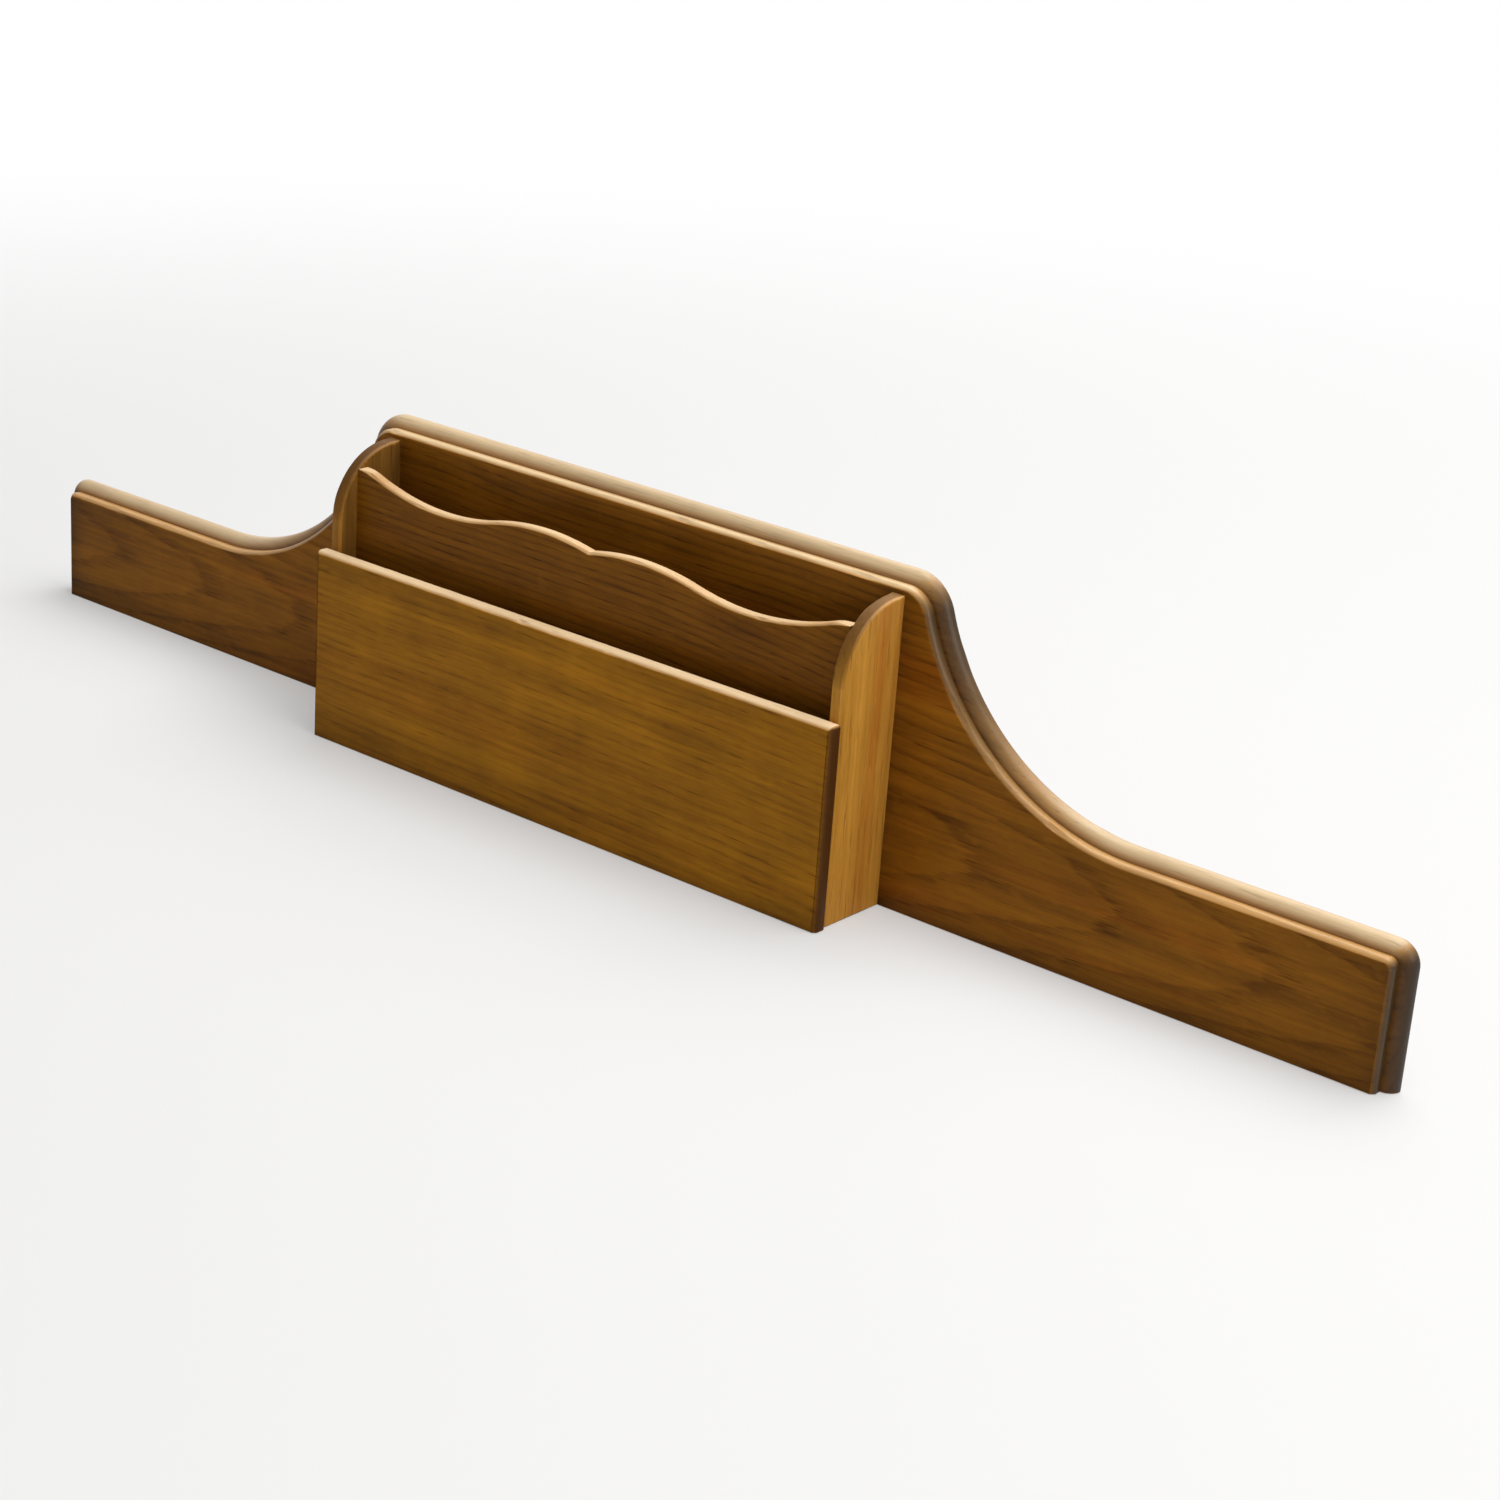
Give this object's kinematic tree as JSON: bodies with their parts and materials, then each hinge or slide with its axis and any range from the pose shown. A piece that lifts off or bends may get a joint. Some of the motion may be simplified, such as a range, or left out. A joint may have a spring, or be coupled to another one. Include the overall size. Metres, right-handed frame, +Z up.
{
  "type": "letter holder",
  "caption": "Oak letter rack with open upright compartments and a wavy-topped divider, planted on a wide moulded backboard that sweeps down from a raised centre to low wings.",
  "frame": {"origin": "on the resting surface, under the middle of the whole", "axes": "+X along the backboard to the right as seen from the front, +Y from the rack's front panel to the back, +Z up"},
  "size_m": [0.782, 0.056, 0.1455],
  "materials": {
    "backboard_oak": "stained and satin varnished, grain along X",
    "panel_oak": "stained and satin varnished, grain along X",
    "end_oak": "stained and satin varnished, grain along Z",
    "divider_oak": "stained and satin varnished, grain along X",
    "floor_oak": "stained and unpolished, grain along X",
    "screw_steel": "dulled",
    "pin_steel": "dulled"
  },
  "bodies": {
    "root": {"backboard": "backboard_oak", "front_panel": "panel_oak", "left_end": "end_oak", "right_end": "end_oak", "divider": "divider_oak", "bottom_board": "floor_oak", "back_screws": "screw_steel", "front_pins": "pin_steel"}
  },
  "joints": []
}
